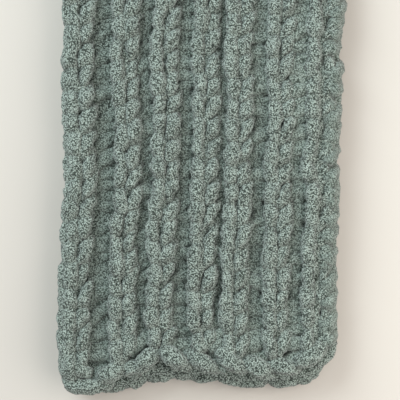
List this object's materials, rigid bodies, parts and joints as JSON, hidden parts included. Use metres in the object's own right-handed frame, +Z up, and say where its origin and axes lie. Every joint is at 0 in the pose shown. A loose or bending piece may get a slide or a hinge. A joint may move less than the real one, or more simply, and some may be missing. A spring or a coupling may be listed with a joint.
{
  "type": "throw blanket",
  "caption": "Jumbo-knit ribbed throw blanket in fuzzy chenille yarn, folded once along its length and laid flat.",
  "frame": {"origin": "on the surface it lies on, under the middle of the folded blanket's bounding box", "axes": "+Z up, +Y along the knitted ribs from the cast-on hem to the bound-off end, +X across the ribs from the two loose side edges to the folded edge"},
  "size_m": [0.3878, 1.016, 0.0645],
  "materials": {
    "sage_chenille": "fuzzy chenille pile, matt"
  },
  "bodies": {
    "root": {"blanket": "sage_chenille"}
  },
  "joints": []
}
